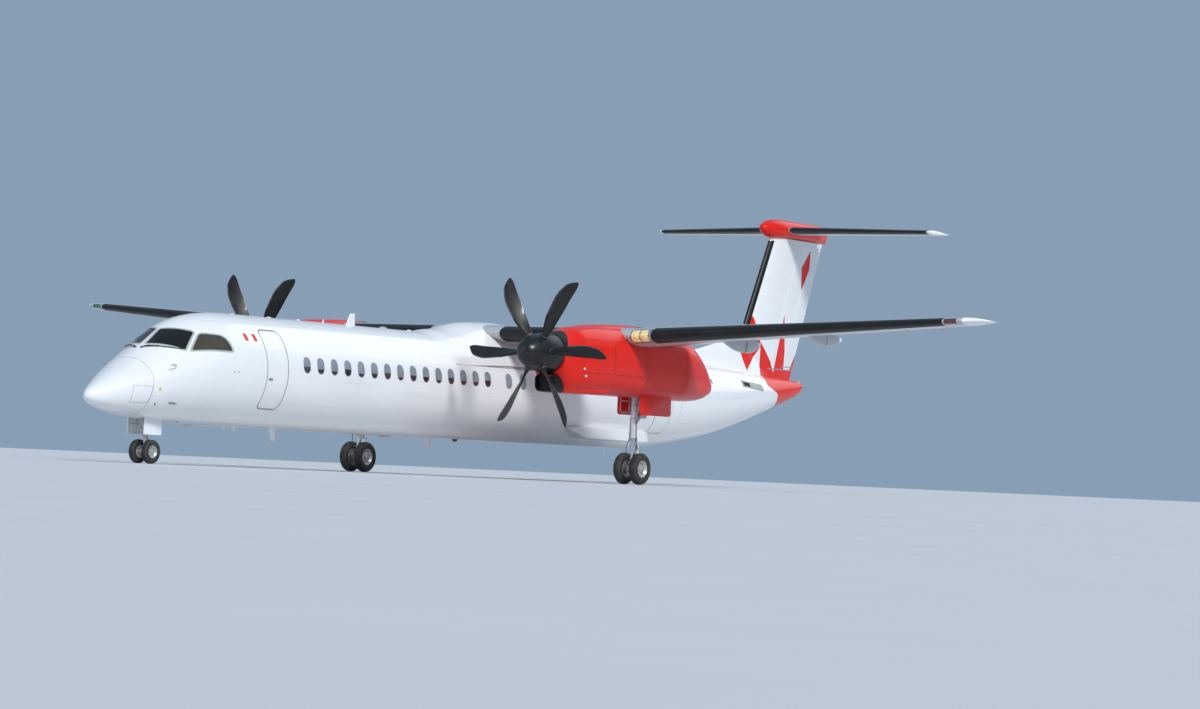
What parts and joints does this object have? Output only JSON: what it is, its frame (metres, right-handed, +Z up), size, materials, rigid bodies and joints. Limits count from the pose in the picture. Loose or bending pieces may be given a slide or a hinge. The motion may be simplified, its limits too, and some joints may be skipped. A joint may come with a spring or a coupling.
{
  "type": "turboprop airliner",
  "caption": "Full-size regional airliner standing on its wheels: high wing, turboprop engines with turning propellers, T-tail, hollow flight deck and an entry door with steps.",
  "frame": {"origin": "on the ground under the middle of the whole aircraft, the bottom centre of its bounding box", "axes": "+Y runs from the nose to the tail, +X to the aircraft's left wing, +Z up"},
  "size_m": [28.42, 32.84, 7.92],
  "materials": {
    "white_paint": "gloss",
    "wing_paint": "satin",
    "red_paint": "gloss",
    "window_glass": "polished",
    "cabin_trim": "matte",
    "engine_metal": "satin",
    "propeller_paint": "satin",
    "gear_paint": "satin",
    "wheel_metal": "satin",
    "tyre_rubber": "matte"
  },
  "bodies": {
    "airframe": {"fuselage_nose": "white_paint", "fuselage_centre": "white_paint", "fuselage_rear": "white_paint", "wing_fairing": "white_paint", "belly_fairing_left": "white_paint", "belly_fairing_right": "white_paint", "service_door": "white_paint", "aft_passenger_door": "white_paint", "aft_service_door": "white_paint", "baggage_door": "white_paint", "fin": "white_paint", "nose_door_left": "white_paint", "nose_door_right": "white_paint", "wing_centre": "wing_paint", "wing_left": "wing_paint", "wing_right": "wing_paint", "stabiliser": "wing_paint", "nacelle_left": "red_paint", "nacelle_right": "red_paint", "tail_cone": "red_paint", "tail_bullet": "red_paint", "windshield_left": "window_glass", "windshield_right": "window_glass", "side_window_left": "window_glass", "side_window_right": "window_glass", "instrument_panel": "cabin_trim", "cockpit_seats": "cabin_trim", "engine_left": "engine_metal", "engine_right": "engine_metal", "nose_strut": "gear_paint", "main_strut_left": "gear_paint", "main_strut_right": "gear_paint"},
    "passenger_door": {"passenger_door": "white_paint"},
    "propeller_left": {"propeller_left": "propeller_paint", "spinner_left": "propeller_paint"},
    "main_wheels_left": {"main_wheels_left": "wheel_metal", "main_tyre_left_outer": "tyre_rubber", "main_tyre_left_inner": "tyre_rubber"},
    "propeller_right": {"propeller_right": "propeller_paint", "spinner_right": "propeller_paint"},
    "main_wheels_right": {"main_wheels_right": "wheel_metal", "main_tyre_right_outer": "tyre_rubber", "main_tyre_right_inner": "tyre_rubber"},
    "nose_fork": {"nose_fork": "gear_paint"},
    "nose_wheels": {"nose_wheels": "wheel_metal", "nose_tyre_left": "tyre_rubber", "nose_tyre_right": "tyre_rubber"},
    "aileron_left": {"aileron_left": "wing_paint"},
    "elevator_left": {"elevator_left": "wing_paint"},
    "flap_inner_left": {"flap_inner_left": "wing_paint"},
    "flap_outer_left": {"flap_outer_left": "wing_paint"},
    "aileron_right": {"aileron_right": "wing_paint"},
    "elevator_right": {"elevator_right": "wing_paint"},
    "flap_inner_right": {"flap_inner_right": "wing_paint"},
    "flap_outer_right": {"flap_outer_right": "wing_paint"},
    "rudder_fore": {"rudder_fore": "white_paint"},
    "rudder_aft": {"rudder_aft": "white_paint"}
  },
  "joints": [
    {"name": "passenger_door", "type": "hinge", "parent": "airframe", "child": "passenger_door", "pos_m": [1.02573, -11.14, 1.427], "axis": [0, 1, 0], "range_deg": [0, 130]},
    {"name": "propeller_left", "type": "hinge", "parent": "airframe", "child": "propeller_left", "pos_m": [4.4, -4.86, 3.16], "axis": [0, 1, 0], "continuous": true},
    {"name": "main_wheels_left", "type": "hinge", "parent": "airframe", "child": "main_wheels_left", "pos_m": [4.4, -0.32, 0.405], "axis": [1, 0, 0], "continuous": true},
    {"name": "propeller_right", "type": "hinge", "parent": "airframe", "child": "propeller_right", "pos_m": [-4.4, -4.86, 3.16], "axis": [0, 1, 0], "continuous": true},
    {"name": "main_wheels_right", "type": "hinge", "parent": "airframe", "child": "main_wheels_right", "pos_m": [-4.4, -0.32, 0.405], "axis": [1, 0, 0], "continuous": true},
    {"name": "nose_steering", "type": "hinge", "parent": "airframe", "child": "nose_fork", "pos_m": [0, -14.27, 0.64], "axis": [0, 0, 1], "range_deg": [-70, 70]},
    {"name": "nose_wheels", "type": "hinge", "parent": "nose_fork", "child": "nose_wheels", "pos_m": [0, -14.27, 0.28], "axis": [1, 0, 0], "continuous": true},
    {"name": "aileron_left", "type": "hinge", "parent": "airframe", "child": "aileron_left", "pos_m": [10.11, 0.35664, 4.07816], "axis": [0.9972, 0.031, 0.0676], "range_deg": [-17, 17]},
    {"name": "elevator_left", "type": "hinge", "parent": "airframe", "child": "elevator_left", "pos_m": [0.436, 14.9466, 7.63], "axis": [0.9979, 0.0654, 0], "range_deg": [-18, 25]},
    {"name": "flap_inner_left", "type": "hinge", "parent": "airframe", "child": "flap_inner_left", "pos_m": [1.48, 0.11071, 3.41], "axis": [-1, 0, 0], "range_deg": [0, 35]},
    {"name": "flap_outer_left", "type": "hinge", "parent": "airframe", "child": "flap_outer_left", "pos_m": [7.25, 0.19021, 3.55435], "axis": [-0.997, -0.0372, -0.0676], "range_deg": [0, 35]},
    {"name": "aileron_right", "type": "hinge", "parent": "airframe", "child": "aileron_right", "pos_m": [-10.11, 0.35664, 4.07816], "axis": [0.9972, -0.031, -0.0676], "range_deg": [-17, 17]},
    {"name": "elevator_right", "type": "hinge", "parent": "airframe", "child": "elevator_right", "pos_m": [-0.436, 14.9466, 7.63], "axis": [0.9979, -0.0654, 0], "range_deg": [-18, 25]},
    {"name": "flap_inner_right", "type": "hinge", "parent": "airframe", "child": "flap_inner_right", "pos_m": [-1.48, 0.11071, 3.41], "axis": [-1, 0, 0], "range_deg": [0, 35]},
    {"name": "flap_outer_right", "type": "hinge", "parent": "airframe", "child": "flap_outer_right", "pos_m": [-7.25, 0.19021, 3.55435], "axis": [-0.997, 0.0372, 0.0676], "range_deg": [0, 35]},
    {"name": "rudder_fore", "type": "hinge", "parent": "airframe", "child": "rudder_fore", "pos_m": [0, 13.19624, 3.55], "axis": [0, 0.3954, 0.9185], "range_deg": [-18, 18]},
    {"name": "rudder_aft", "type": "hinge", "parent": "rudder_fore", "child": "rudder_aft", "pos_m": [0, 14.1502, 3.64], "axis": [0, 0.3727, 0.928], "range_deg": [-18, 18]}
  ],
  "couplings": [
    {"joint": "aileron_right", "follows": "aileron_left", "ratio": -1},
    {"joint": "elevator_right", "follows": "elevator_left", "ratio": 1},
    {"joint": "rudder_aft", "follows": "rudder_fore", "ratio": 1},
    {"joint": "flap_outer_right", "follows": "flap_outer_left", "ratio": 1},
    {"joint": "flap_inner_left", "follows": "flap_outer_left", "ratio": 1},
    {"joint": "flap_inner_right", "follows": "flap_outer_left", "ratio": 1}
  ]
}
